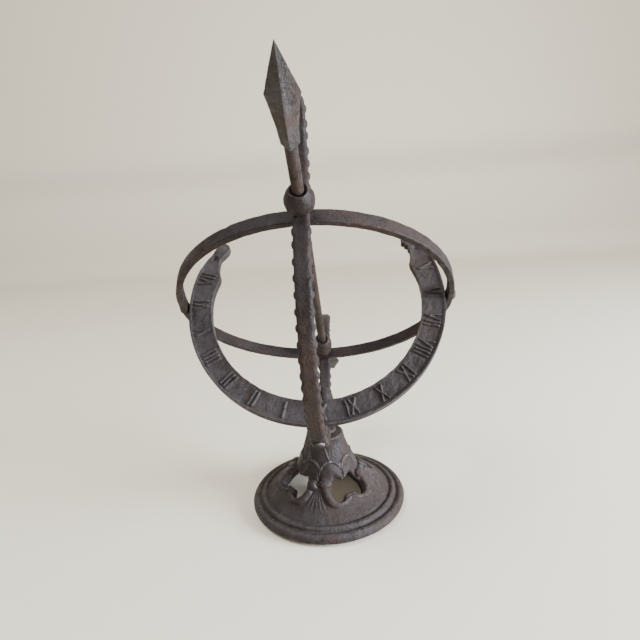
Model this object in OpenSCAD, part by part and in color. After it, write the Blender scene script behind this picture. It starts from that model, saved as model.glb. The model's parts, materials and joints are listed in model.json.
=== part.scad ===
// Small cast-iron armillary sphere: a plain ring, a meridian arc and an hour band round a turning arrow,
// bolted on a bell-shaped pierced foot. Millimetres, +Z up, origin at the middle of the foot's underside.

/* [Sphere] */
// Outer radius of the plain ring
ring_r = 75.9; // [60:0.1:100]
// Height of the sphere's centre above the table
centre_h = 123.5; // [118:0.5:150]
// Angle of the arrow above the horizontal, which is the dial's latitude
latitude = 41; // [35:1:50]
// Thickness of the plain ring, measured along its radius
ring_t = 3.5; // [2.5:0.1:5]
// Width of the plain ring's band
ring_w = 5.6; // [4:0.1:8]

/* [Meridian arc] */
// Thickness of the arc, measured along its radius
arc_t = 4.35; // [3.5:0.05:7]
// Width of the arc without the beads along its edges
arc_w = 7.3; // [6.4:0.1:12]
// Radius of the beads
bead_r = 1.1; // [0.8:0.1:1.4]
// Angle from one bead to the next
bead_pitch = 5; // [4:0.5:10]
// Radius that the flared tips curl outwards on
tip_bend_r = 50; // [45:1:70]
// Angle that each flared tip turns through
tip_turn = 54; // [30:1:60]
// Radius of the round seat that stands on the foot
seat_r = 7; // [6:0.5:9]

/* [Hour band] */
// Radial width of the hour band
band_w = 12.7; // [9:0.1:16]
// Gap between the hour band and the plain ring
band_gap = 0.8; // [0.4:0.1:2]
// Thickness of the hour band along the arrow's axis
band_t = 4.8; // [3:0.1:7]
// How far the band's front face stands in front of the sphere's centre
band_front = 2.7; // [1:0.1:4]
// Half of the angle that the band covers, up to the waists of its two ends
band_half = 110; // [109:1:114]
// Height of the lip along the band's outer edge
lip_h = 0.7; // [0.4:0.1:1.5]
// Height of the numerals above the band
numeral_h = 0.8; // [0.4:0.1:1.5]
// Length of a numeral's strokes
numeral_l = 7.4; // [5:0.1:9]

/* [Arrow] */
// Diameter of the arrow's rod
rod_d = 5; // [4:0.1:6]
// Diameter of the journal at the rod's lower end
journal_d = 4; // [3:0.1:4.4]
// Radial clearance of the rod in its bosses
running_gap = 0.05; // [0.03:0.01:0.1]
// Distance from the sphere's centre to the arrow's point
tip_at = 152.3; // [140:0.1:165]
// Length of the arrowhead
head_l = 38.3; // [30:0.1:50]
// Width of the arrowhead across its corners
head_w = 12.8; // [10:0.1:20]
// Length of the tail feather
tail_l = 24; // [16:1:40]
// Width of the tail feather
tail_w = 20; // [12:1:30]

/* [Foot] */
// Radius of the foot's rim
foot_r = 46.5; // [42:0.5:60]
// Number of pierced openings round the foot
opening_n = 4; // [3:1:6]
// Direction of the first opening
opening_at = -57; // [-90:1:90]
// Radius of the neck's top
neck_r = 11.2; // [10:0.1:14]
// Diameter of the bolt that holds the sphere
bolt_d = 5; // [4:0.5:6]

/* [Hidden] */
$fn = 96;
eps = 0.01;

ring_in = ring_r - ring_t;
arc_out = ring_r + arc_t;
arc_mid = ring_r + arc_t / 2;
band_out = ring_in - band_gap;
band_in = band_out - band_w;
band_back = band_front - band_t;
lip_w = 1.1;
waist_turn = 8;                       // angle that the waist covers
waist_in = 9.4;                       // the waist's inner and outer edges, from the band's outer edge
waist_out = 0.6;
disc_step = 0.05;
rod_r = rod_d / 2;
journal_r = journal_d / 2;
loose = 0.3;                          // clearance of the rod in the two rings

bead_h = 2;
bead_inset = 0.6;                     // how far the beads' centres lie inside the arc's edges
tip_beads = 8;
boss_seat = arc_out - 0.35;           // the spot face under the upper boss
boss_seat_r = 6;
north_top = arc_out + 10.5;           // the mouth of the upper boss
north_r = 6.7;
south_mouth = -54;                    // the mouth of the lower boss, inside the sphere
shoulder_at = -60;                    // where the rod steps down to its journal
south_r = 5.8;
countersink = 1.1;

lug_w = 9;                            // lugs that join the hour band to its neighbours
lug_drop = 5;
lug_t = 5.2;
rivet_r = 1.6;
rivet_head_r = 3.1;
rivet_head_h = 2;
rivet_depth = 6;

head_back = tip_at - head_l;
corner_at = head_back + 20.5;
socket_l = 11;
tail_top = -arc_out - 0.35;
hub_r = 3.3;
feather_t = 2.4;

neck_top = centre_h - arc_out - 0.05;
crown_z = 24;                         // underside of the crown, inside the bell
washer_t = 1;
washer_r = 6.5;
nut_h = 4;
nut_af = 8;
bolt_gap = 0.08;
part_gap = 0.12;
bud_bottom = centre_h - ring_r + 0.25;
bud_h = 25;
bud_r = 5.6;
bolt_top = bud_bottom + 12;
bolt_end = crown_z - part_gap - washer_t - nut_h - 2;

iron = [0.20, 0.17, 0.17];
iron_worn = [0.30, 0.27, 0.28];
iron_dark = [0.12, 0.10, 0.10];
steel = [0.45, 0.44, 0.43];

// The sphere's own frame: X to the east, Z along the arrow to its point
module in_sphere()
    translate([0, 0, centre_h])
        rotate([90 - latitude, 0, 0])
            children();

// Rounded-corner rectangle made of a rectangle and four circles, centred
module soft_rect(w, h, r) {
    square([w, h - 2 * r], center = true);
    square([w - 2 * r, h], center = true);
    for (x = [-1, 1], y = [-1, 1])
        translate([x * (w / 2 - r), y * (h / 2 - r)])
            circle(r, $fn = 24);
}

// ---- Foot ----

// Outer profile from the rim's underside to the neck's top
function foot_outer() = [
    [foot_r, 0], [foot_r, 1.8], [foot_r - 0.7, 3.5], [foot_r - 2.3, 4.6], [foot_r - 4.2, 4.4],
    [foot_r - 5, 4.4], [foot_r - 5.8, 5.7], [foot_r - 7.4, 6.2], [foot_r - 8.8, 5.7],
    [foot_r - 9.6, 6], [32, 9.3], [26.5, 14], [21.5, 18.5], [18.2, 22], [16.4, 26], [14.2, 31],
    [12.7, 35.5], [11.6, 40], [neck_r, neck_top - 0.6], [neck_r - 0.6, neck_top]];

// Inner profile, back from the bolt hole to the rim
function foot_inner() = [
    [0, neck_top], [0, crown_z], [9.5, crown_z], [12.5, 21], [17.5, 16.6], [23, 11.5], [30, 6.4],
    [36, 3.6], [foot_r - 5, 2.6], [foot_r - 3.2, 0]];

// One pierced opening: a middle, two large lower lobes and two small upper ones,
// each given as its distance from the foot's axis, its angle to each side and its radius
lobes = [[22.2, 0, 3.2], [23.8, 16.5, 4.1], [20.5, 16.5, 2.5]];
module opening_cut()
    for (lobe = lobes, s = [-1, 1])
        rotate([0, 0, s * lobe[1]])
            translate([lobe[0], 0, 0])
                cylinder(r = lobe[2], h = neck_top);

module foot()
    color(iron)
        difference() {
            rotate_extrude($fn = 128)
                polygon(concat(foot_outer(), foot_inner()));
            for (i = [0 : opening_n - 1])
                rotate([0, 0, opening_at + i * 360 / opening_n])
                    opening_cut();
            cylinder(r = bolt_d / 2 + bolt_gap, h = neck_top + 1);
        }

// ---- Fixing of the sphere on its foot ----

module stem_bolt()
    color(steel)
        translate([0, 0, bolt_end])
            cylinder(d = bolt_d, h = bolt_top - bolt_end);

module stem_washer()
    color(steel)
        translate([0, 0, crown_z - part_gap - washer_t])
            difference() {
                cylinder(r = washer_r, h = washer_t);
                translate([0, 0, -1])
                    cylinder(d = bolt_d, h = washer_t + 2);
            }

module stem_nut()
    color(steel)
        translate([0, 0, crown_z - part_gap - washer_t - nut_h])
            difference() {
                cylinder(d = nut_af / cos(30), h = nut_h, $fn = 6);
                translate([0, 0, -1])
                    cylinder(d = bolt_d, h = nut_h + 2);
            }

// Pointed cap nut shaped like a closed bud
module bud_cap_nut()
    color(iron)
        translate([0, 0, bud_bottom])
            difference() {
                rotate_extrude($fn = 64)
                    polygon([[0, 0], [4.4, 0], [4.4, 2], [3.3, 3.5], [3.3, 6], [5, 9.5], [bud_r, 13],
                             [5.3, 16.5], [4, 20], [2.2, 23], [0, bud_h]]);
                translate([0, 0, -1])
                    cylinder(d = bolt_d, h = bolt_top - bud_bottom + 1);
            }

// ---- Meridian arc ----

// A tip that leaves the arc at the boss and curls outwards
module flared_tip()
    translate([0, 0, arc_mid + tip_bend_r]) {
        rotate([0, 90, 0])
            rotate_extrude(angle = tip_turn, $fn = 180)
                translate([tip_bend_r, 0])
                    soft_rect(arc_t, arc_w, 1);
        rotate([tip_turn, 0, 0])
            translate([0, 0, -tip_bend_r - arc_t / 2])
                cylinder(d = arc_w, h = arc_t);
        for (i = [2 : tip_beads])
            rotate([i * tip_turn / (tip_beads + 0.5), 0, 0])
                mirror([0, 0, 1])
                    bead_pair(tip_bend_r);
    }

// A bead on each edge of the bar, at a distance along Z
module bead_pair(at)
    for (x = [-1, 1])
        translate([x * (arc_w / 2 - bead_inset), 0, at - bead_h / 2])
            cylinder(r = bead_r, h = bead_h, $fn = 24);

// Beads along the arc, from one boss to the other, left out where the seat meets the foot
module arc_beads()
    for (a = [bead_pitch * 1.5 : bead_pitch : 180 - bead_pitch])
        if (abs(a - 90 - latitude) > bead_pitch * 1.2)
            rotate([a, 0, 0])
                bead_pair(arc_mid);

module meridian_arc()
    color(iron)
        difference() {
            union() {
                in_sphere() {
                    rotate([0, 90, 0])
                        rotate_extrude(angle = -180, $fn = 180)
                            translate([arc_mid, 0])
                                soft_rect(arc_t, arc_w, 1);
                    arc_beads();
                    for (s = [0, 1])
                        mirror([0, 0, s])
                            flared_tip();
                }
                translate([0, 0, centre_h - arc_out])
                    cylinder(r = seat_r, h = arc_t - 1.5);
            }
            in_sphere() {
                cylinder(r = rod_r + loose, h = north_top);
                mirror([0, 0, 1])
                    cylinder(r = journal_r + loose, h = north_top);
                translate([0, 0, boss_seat])
                    cylinder(r = boss_seat_r, h = arc_t);
                rotate([90, 0, 0])
                    cylinder(r = rivet_r, h = arc_out + 1);
            }
            translate([0, 0, centre_h - arc_out - 1])
                cylinder(d = bolt_d, h = arc_t + 2);
        }

// ---- Bosses that carry the rod ----

module north_boss()
    color(iron)
        in_sphere()
            difference() {
                rotate_extrude($fn = 64)
                    polygon([[0, boss_seat], [4.6, boss_seat], [6, arc_out + 1.4], [north_r, arc_out + 3.8],
                             [6.4, arc_out + 6.6], [5.2, north_top - 2], [4.6, north_top - 0.5],
                             [3.9, north_top], [0, north_top]]);
                cylinder(r = rod_r + running_gap, h = north_top + 1);
                translate([0, 0, north_top - countersink])
                    cylinder(r1 = rod_r + running_gap, r2 = rod_r + countersink, h = countersink + eps);
            }

module south_boss()
    color(iron)
        in_sphere()
            difference() {
                rotate_extrude($fn = 64)
                    polygon([[0, -ring_in + 0.12], [3.4, -ring_in + 0.12], [4.4, -ring_in + 3],
                             [south_r - 0.2, -63.5], [south_r, -60.5], [south_r - 0.2, -57.5],
                             [4.9, south_mouth - 1], [4.2, south_mouth], [0, south_mouth]]);
                translate([0, 0, shoulder_at])
                    cylinder(r = rod_r + running_gap, h = 20);
                translate([0, 0, -ring_r])
                    cylinder(r = journal_r + running_gap, h = 20);
            }

// ---- Plain ring ----

module plain_ring()
    color(iron_worn)
        in_sphere()
            difference() {
                rotate([90, 45, 0])
                    translate([0, 0, -ring_w / 2])
                        difference() {
                            cylinder(r = ring_r, h = ring_w, $fn = 180);
                            translate([0, 0, -1])
                                cylinder(r = ring_in, h = ring_w + 2, $fn = 180);
                        }
                cylinder(r = rod_r + loose, h = north_top);
                mirror([0, 0, 1])
                    cylinder(r = journal_r + loose, h = north_top);
                rotate([0, 90, 0])
                    translate([0, 0, -ring_r - 1])
                        cylinder(r = rivet_r, h = 2 * ring_r + 2);
            }

// ---- Hour band ----

// The round parts of one end, each given as its angle past the waist's start, its depth inside the outer edge
// and its radius, and each a hair lower than the one before: a swelling, the waist's rounded end and a leaf
end_discs = [[-3, 7.7, 6], [8, 4.7, 4.3], [14.5, 6.1, 4.2]];
module band_end() {
    rotate([0, 0, -90 - band_half - waist_turn])
        rotate_extrude(angle = waist_turn + 1, $fn = 180)
            translate([band_out - waist_in, band_back])
                square([waist_in - waist_out, band_t - disc_step / 2]);
    for (i = [0 : len(end_discs) - 1])
        rotate([0, 0, -band_half - end_discs[i][0]])
            translate([0, end_discs[i][1] - band_out, band_back])
                cylinder(r = end_discs[i][2], h = band_t - disc_step * (i + 1));
}

// Section of the band, with the lip along its outer edge
function band_profile() = [
    [band_in, band_back], [band_out, band_back], [band_out, band_front + lip_h],
    [band_out - lip_w, band_front + lip_h], [band_out - lip_w - 0.4, band_front], [band_in, band_front]];

module hour_band()
    color(iron_worn)
        in_sphere()
            difference() {
                union() {
                    rotate([0, 0, -90 - band_half])
                        rotate_extrude(angle = 2 * band_half, $fn = 180)
                            polygon(band_profile());
                    for (s = [0, 1])
                        mirror([s, 0, 0]) {
                            band_end();
                            translate([ring_in - 0.4 - lug_t, -lug_w / 2, band_back - lug_drop])
                                cube([lug_t, lug_w, lug_drop + 1]);
                        }
                    translate([-lug_w / 2, 0.06 - ring_r, band_back + disc_step])
                        cube([lug_w, 6, band_t - 2 * disc_step]);
                }
                for (s = [0, 1])
                    mirror([s, 0, 0])
                        translate([ring_r - rivet_depth, 0, 0])
                            rotate([0, 90, 0])
                                cylinder(r = rivet_r, h = rivet_depth);
                rotate([90, 0, 0])
                    translate([0, 0, ring_r - rivet_depth])
                        cylinder(r = rivet_r, h = rivet_depth + 1);
            }

// Roman figures, drawn from left to right round the origin with their feet at y = 0
stroke_w = 0.95;
stroke_gap = 2.1;
v_half = 1.5;
function figures(hour) = ["I", "II", "III", "IIII", "V", "VI", "VII", "VIII", "IX", "X", "XI", "XII"][hour - 1];
function wide(c) = c == "I" ? stroke_gap : 2 * v_half + 1.4;
function width_to(s, n) = n <= 0 ? 0 : wide(s[n - 1]) + width_to(s, n - 1);

module bar(x0, x1) {
    lean = atan2(x1 - x0, numeral_l);
    translate([x0, 0, 0])
        rotate([0, 0, -lean])
            translate([-stroke_w / 2, 0, 0])
                cube([stroke_w, numeral_l / cos(lean), numeral_h]);
}

module figure(c) {
    if (c == "I") bar(0, 0);
    if (c == "V") {
        bar(0, -v_half);
        bar(0, v_half);
    }
    if (c == "X") {
        bar(-v_half, v_half);
        bar(v_half, -v_half);
    }
}

module numeral(hour) {
    s = figures(hour);
    total = width_to(s, len(s));
    for (i = [0 : len(s) - 1])
        translate([width_to(s, i) + wide(s[i]) / 2 - total / 2, 0, 0])
            figure(s[i]);
}

// Hours 5 to 19 run clockwise round the band's front, fifteen degrees apart, with noon at the bottom
module hour_numerals()
    color(iron_worn)
        in_sphere()
            for (h = [5 : 19])
                rotate([0, 0, 180 - (h - 12) * 15])
                    translate([0, band_in + 2, band_front])
                        numeral((h - 1) % 12 + 1);

// ---- Rivets ----

module domed_rivet(depth)
    rotate_extrude($fn = 48)
        polygon([[0, -depth], [rivet_r, -depth], [rivet_r, 0], [rivet_head_r, 0], [rivet_head_r, 0.6],
                 [rivet_head_r * 0.8, rivet_head_h * 0.75], [rivet_head_r * 0.4, rivet_head_h],
                 [0, rivet_head_h]]);

module side_rivets()
    color(iron_dark)
        in_sphere()
            for (s = [0, 1])
                mirror([s, 0, 0])
                    translate([ring_r, 0, 0])
                        rotate([0, 90, 0])
                            domed_rivet(rivet_depth);

module band_rivet()
    color(steel)
        in_sphere()
            translate([0, -arc_out, 0])
                rotate([90, 0, 0])
                    domed_rivet(arc_t + rivet_depth);

// ---- Arrow ----

module arrow_rod()
    color(iron_dark)
        in_sphere() {
            translate([0, 0, shoulder_at + 0.1])
                cylinder(r = rod_r, h = head_back + socket_l - shoulder_at - 0.1);
            translate([0, 0, tail_top - tail_l + 4])
                cylinder(r = journal_r, h = shoulder_at + 0.2 - tail_top + tail_l - 4);
        }

// Half width of the head's corners and half height of its ridges at distance u from its back
function corner_half(u) = u > corner_at - head_back
    ? head_w / 2 * (head_l - u) / (head_back + head_l - corner_at)
    : 4.1 + (head_w / 2 - 4.1) * pow(u / (corner_at - head_back), 2.2);
function ridge_half(u) = 4.3 * (u > 14 ? (head_l - u) / (head_l - 14) : 1);
head_steps = [0, 4, 8, 11, 14, 17, 20.5, head_l - 0.6];
head_rings = [for (u = head_steps) for (k = [0 : 3])
    [cos(90 * k) * corner_half(u), sin(90 * k) * ridge_half(u), head_back + u]];
head_sides = [for (i = [0 : len(head_steps) - 2], k = [0 : 3]) let (a = 4 * i + k, b = 4 * i + (k + 1) % 4)
    each [[a, a + 4, b], [b, a + 4, b + 4]]];
head_top = 4 * (len(head_steps) - 1);

module arrowhead()
    color(iron)
        in_sphere()
            difference() {
                polyhedron(
                    points = concat(head_rings, [[0, 0, tip_at]]),
                    faces = concat(
                        [[0, 1, 2, 3]],
                        head_sides,
                        [for (k = [0 : 3]) [head_top + k, len(head_rings), head_top + (k + 1) % 4]]));
                translate([0, 0, head_back - 1])
                    cylinder(r = rod_r, h = socket_l + 1);
            }

// Flat tail feather with a notched end, on a round hub
module arrow_feather()
    color(iron)
        in_sphere()
            difference() {
                union() {
                    rotate([90, 0, 0])
                        translate([0, tail_top, -feather_t / 2])
                            linear_extrude(feather_t)
                                for (s = [0, 1])
                                    mirror([s, 0])
                                        polygon([[0, -3], [2.5, -3], [tail_w * 0.36, -6.5], [tail_w / 2, -11],
                                                 [tail_w / 2, -tail_l], [0, -tail_l + 6]]);
                    translate([0, 0, tail_top - tail_l + 6])
                        cylinder(r = hub_r, h = tail_l - 6);
                }
                translate([0, 0, tail_top - tail_l + 4])
                    cylinder(r = journal_r, h = tail_l);
            }

foot();
stem_bolt();
stem_washer();
stem_nut();
bud_cap_nut();
meridian_arc();
north_boss();
south_boss();
plain_ring();
hour_band();
hour_numerals();
side_rivets();
band_rivet();
arrow_rod();
arrowhead();
arrow_feather();
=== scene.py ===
import json
import math

import bmesh
import bpy
import numpy as np
from mathutils import Matrix, Vector


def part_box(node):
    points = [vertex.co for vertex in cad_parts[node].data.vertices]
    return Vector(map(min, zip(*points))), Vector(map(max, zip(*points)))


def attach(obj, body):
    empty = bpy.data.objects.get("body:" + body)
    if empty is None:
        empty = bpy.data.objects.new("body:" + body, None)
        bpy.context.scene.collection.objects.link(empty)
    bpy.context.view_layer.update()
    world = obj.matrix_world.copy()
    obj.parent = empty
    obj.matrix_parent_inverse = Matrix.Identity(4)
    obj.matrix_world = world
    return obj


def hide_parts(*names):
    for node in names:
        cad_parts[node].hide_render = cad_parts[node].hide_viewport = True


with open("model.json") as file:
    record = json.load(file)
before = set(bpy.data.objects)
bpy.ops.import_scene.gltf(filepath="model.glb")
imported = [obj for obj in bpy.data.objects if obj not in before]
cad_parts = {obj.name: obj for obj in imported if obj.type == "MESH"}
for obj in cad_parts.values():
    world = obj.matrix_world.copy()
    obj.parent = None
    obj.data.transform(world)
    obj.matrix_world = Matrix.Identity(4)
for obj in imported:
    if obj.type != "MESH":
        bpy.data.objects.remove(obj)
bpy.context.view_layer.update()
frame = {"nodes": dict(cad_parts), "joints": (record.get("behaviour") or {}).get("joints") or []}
mm = 0.001

# The arrow's hinge gives the sphere's centre and its own axes: east, the ring's axis and the arrow
arrowHinge = next(j for j in frame["joints"] if j["name"] == "arrow_spin")
centre = np.array(arrowHinge["pos_m"])
alongArrow = np.array(arrowHinge["axis"], float)
alongArrow /= np.linalg.norm(alongArrow)
eastward = np.array([1.0, 0.0, 0.0])
ringAxis = np.cross(alongArrow, eastward)
sphereAxes = np.array([eastward, ringAxis, alongArrow])


# Points in the sphere's own millimetres to the shared frame's metres.
def toWorld(points):
    return np.asarray(points, float) * mm @ sphereAxes + centre


# Lowest and highest corner, in the sphere's own millimetres, of a CAD node.
def inSphere(node):
    points = np.array([v.co for v in frame["nodes"][node].data.vertices], float)
    local = (points - centre) @ sphereAxes.T / mm
    return local.min(0), local.max(0)


# Shader groups

def startGroup(name, ins, outs):
    group = bpy.data.node_groups.new(name, "ShaderNodeTree")
    for label, kind, value in ins:
        socket = group.interface.new_socket(label, in_out="INPUT", socket_type=kind)
        if value is not None:
            socket.default_value = value
    for label, kind in outs:
        group.interface.new_socket(label, in_out="OUTPUT", socket_type=kind)
    entry = group.nodes.new("NodeGroupInput")
    leave = group.nodes.new("NodeGroupOutput")
    entry.location, leave.location = (-900, 0), (700, 0)
    return group, entry, leave


def addNode(tree, kind, place, **settings):
    node = tree.nodes.new(kind)
    node.location = place
    for key, value in settings.items():
        if hasattr(node, key):
            setattr(node, key, value)
        else:
            node.inputs[key].default_value = value
    return node


def ramp(tree, place, low, high):
    node = addNode(tree, "ShaderNodeMapRange", place)
    node.inputs["From Min"].default_value = low
    node.inputs["From Max"].default_value = high
    node.interpolation_type = "SMOOTHSTEP"
    return node


# Sand-cast skin: fine grain on soft lumps, as a height, with a mask of its hollows.
def castGrainGroup():
    g, i, o = startGroup(
        "castGrain",
        [("Vector", "NodeSocketVector", None), ("Grain Size", "NodeSocketFloat", 1400.0),
         ("Lump Size", "NodeSocketFloat", 220.0), ("Lump Share", "NodeSocketFloat", 0.55)],
        [("Height", "NodeSocketFloat"), ("Hollows", "NodeSocketFloat")])
    fine = addNode(g, "ShaderNodeTexNoise", (-600, 200), Detail=3.0, Roughness=0.62)
    lumps = addNode(g, "ShaderNodeTexNoise", (-600, -100), Detail=2.0, Roughness=0.5)
    for node, size in ((fine, "Grain Size"), (lumps, "Lump Size")):
        g.links.new(i.outputs["Vector"], node.inputs["Vector"])
        g.links.new(i.outputs[size], node.inputs["Scale"])
    both = addNode(g, "ShaderNodeMix", (-300, 100), data_type="FLOAT")
    g.links.new(i.outputs["Lump Share"], both.inputs["Factor"])
    g.links.new(fine.outputs["Fac"], both.inputs["A"])
    g.links.new(lumps.outputs["Fac"], both.inputs["B"])
    hollows = ramp(g, (0, -100), 0.49, 0.34)
    g.links.new(both.outputs["Result"], hollows.inputs["Value"])
    g.links.new(both.outputs["Result"], o.inputs["Height"])
    g.links.new(hollows.outputs["Result"], o.inputs["Hollows"])
    return g


# Scattered small pits left by sand and gas, as a mask and a height that dips in them.
def castingPitsGroup():
    g, i, o = startGroup(
        "castingPits",
        [("Vector", "NodeSocketVector", None), ("Size", "NodeSocketFloat", 330.0),
         ("Amount", "NodeSocketFloat", 0.2)],
        [("Height", "NodeSocketFloat"), ("Mask", "NodeSocketFloat")])
    cells = addNode(g, "ShaderNodeTexVoronoi", (-650, 150), Randomness=1.0)
    where = addNode(g, "ShaderNodeTexNoise", (-650, -150), Scale=60.0, Detail=2.0)
    g.links.new(i.outputs["Vector"], cells.inputs["Vector"])
    g.links.new(i.outputs["Vector"], where.inputs["Vector"])
    g.links.new(i.outputs["Size"], cells.inputs["Scale"])
    near = ramp(g, (-400, 150), 0.24, 0.06)
    g.links.new(cells.outputs["Distance"], near.inputs["Value"])
    shifted = addNode(g, "ShaderNodeMath", (-400, -150), operation="ADD")
    g.links.new(where.outputs["Fac"], shifted.inputs[0])
    g.links.new(i.outputs["Amount"], shifted.inputs[1])
    few = ramp(g, (-200, -150), 0.68, 0.8)
    g.links.new(shifted.outputs["Value"], few.inputs["Value"])
    mask = addNode(g, "ShaderNodeMath", (0, 100), operation="MULTIPLY")
    g.links.new(near.outputs["Result"], mask.inputs[0])
    g.links.new(few.outputs["Result"], mask.inputs[1])
    height = addNode(g, "ShaderNodeMath", (250, 100), operation="SUBTRACT")
    height.inputs[0].default_value = 1.0
    g.links.new(mask.outputs["Value"], height.inputs[1])
    g.links.new(height.outputs["Value"], o.inputs["Height"])
    g.links.new(mask.outputs["Value"], o.inputs["Mask"])
    return g


# Raised and outer edges, where handling has rubbed the skin, broken up by noise.
def edgeWearGroup():
    g, i, o = startGroup(
        "edgeWear",
        [("Vector", "NodeSocketVector", None), ("Amount", "NodeSocketFloat", 0.5),
         ("Break Up", "NodeSocketFloat", 420.0), ("Full At", "NodeSocketFloat", 0.58)],
        [("Mask", "NodeSocketFloat"), ("Recess", "NodeSocketFloat")])
    shape = addNode(g, "ShaderNodeNewGeometry", (-700, 200))
    edges = ramp(g, (-450, 250), 0.503, 0.58)
    g.links.new(i.outputs["Full At"], edges.inputs["From Max"])
    g.links.new(shape.outputs["Pointiness"], edges.inputs["Value"])
    recess = ramp(g, (-450, 20), 0.497, 0.44)
    g.links.new(shape.outputs["Pointiness"], recess.inputs["Value"])
    speckle = addNode(g, "ShaderNodeTexNoise", (-700, -150), Detail=4.0, Roughness=0.7)
    g.links.new(i.outputs["Vector"], speckle.inputs["Vector"])
    g.links.new(i.outputs["Break Up"], speckle.inputs["Scale"])
    broken = ramp(g, (-450, -200), 0.38, 0.66)
    g.links.new(speckle.outputs["Fac"], broken.inputs["Value"])
    product = addNode(g, "ShaderNodeMath", (-200, 100), operation="MULTIPLY")
    g.links.new(edges.outputs["Result"], product.inputs[0])
    g.links.new(broken.outputs["Result"], product.inputs[1])
    scaled = addNode(g, "ShaderNodeMath", (50, 100), operation="MULTIPLY", use_clamp=True)
    g.links.new(product.outputs["Value"], scaled.inputs[0])
    g.links.new(i.outputs["Amount"], scaled.inputs[1])
    g.links.new(scaled.outputs["Value"], o.inputs["Mask"])
    g.links.new(recess.outputs["Result"], o.inputs["Recess"])
    return g


# Soft patches of rust, as a mask in noise clouds.
def rustBloomGroup():
    g, i, o = startGroup(
        "rustBloom",
        [("Vector", "NodeSocketVector", None), ("Size", "NodeSocketFloat", 38.0),
         ("Spread", "NodeSocketFloat", 0.5)],
        [("Mask", "NodeSocketFloat")])
    clouds = addNode(g, "ShaderNodeTexNoise", (-650, 100), Detail=6.0, Roughness=0.62, Distortion=0.4)
    g.links.new(i.outputs["Vector"], clouds.inputs["Vector"])
    g.links.new(i.outputs["Size"], clouds.inputs["Scale"])
    moved = addNode(g, "ShaderNodeMath", (-400, 100), operation="ADD")
    g.links.new(clouds.outputs["Fac"], moved.inputs[0])
    g.links.new(i.outputs["Spread"], moved.inputs[1])
    mask = ramp(g, (-150, 100), 0.86, 1.12)
    g.links.new(moved.outputs["Value"], mask.inputs["Value"])
    g.links.new(mask.outputs["Result"], o.inputs["Mask"])
    return g


# Pale dust that lies on faces turned upwards and in recesses.
def dustGroup():
    g, i, o = startGroup(
        "restingDust",
        [("Vector", "NodeSocketVector", None), ("Recess", "NodeSocketFloat", 0.0),
         ("Amount", "NodeSocketFloat", 0.3)],
        [("Mask", "NodeSocketFloat")])
    shape = addNode(g, "ShaderNodeNewGeometry", (-700, 150))
    split = addNode(g, "ShaderNodeSeparateXYZ", (-500, 150))
    g.links.new(shape.outputs["Normal"], split.inputs["Vector"])
    upward = ramp(g, (-300, 200), 0.2, 0.95)
    g.links.new(split.outputs["Z"], upward.inputs["Value"])
    mottle = addNode(g, "ShaderNodeTexNoise", (-500, -100), Scale=130.0, Detail=5.0, Roughness=0.7)
    g.links.new(i.outputs["Vector"], mottle.inputs["Vector"])
    either = addNode(g, "ShaderNodeMath", (-100, 150), operation="MAXIMUM")
    g.links.new(upward.outputs["Result"], either.inputs[0])
    g.links.new(i.outputs["Recess"], either.inputs[1])
    spotted = addNode(g, "ShaderNodeMath", (100, 100), operation="MULTIPLY")
    g.links.new(either.outputs["Value"], spotted.inputs[0])
    g.links.new(mottle.outputs["Fac"], spotted.inputs[1])
    amount = addNode(g, "ShaderNodeMath", (300, 100), operation="MULTIPLY", use_clamp=True)
    g.links.new(spotted.outputs["Value"], amount.inputs[0])
    g.links.new(i.outputs["Amount"], amount.inputs[1])
    g.links.new(amount.outputs["Value"], o.inputs["Mask"])
    return g


groups = {
    "grain": castGrainGroup(),
    "pits": castingPitsGroup(),
    "wear": edgeWearGroup(),
    "rust": rustBloomGroup(),
    "dust": dustGroup(),
}
print("shader groups ready")


# Materials

def putGroup(tree, key, place, vector, **values):
    node = tree.nodes.new("ShaderNodeGroup")
    node.node_tree = groups[key]
    node.location = place
    tree.links.new(vector, node.inputs["Vector"])
    for label, value in values.items():
        node.inputs[label.replace("_", " ")].default_value = value
    return node


def mixColour(tree, place, factor, first, second):
    node = addNode(tree, "ShaderNodeMix", place, data_type="RGBA")
    tree.links.new(factor, node.inputs["Factor"])
    for socket, value in ((node.inputs[6], first), (node.inputs[7], second)):
        if isinstance(value, tuple):
            socket.default_value = (*value, 1)
        else:
            tree.links.new(value, socket)
    return node.outputs[2]


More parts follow.
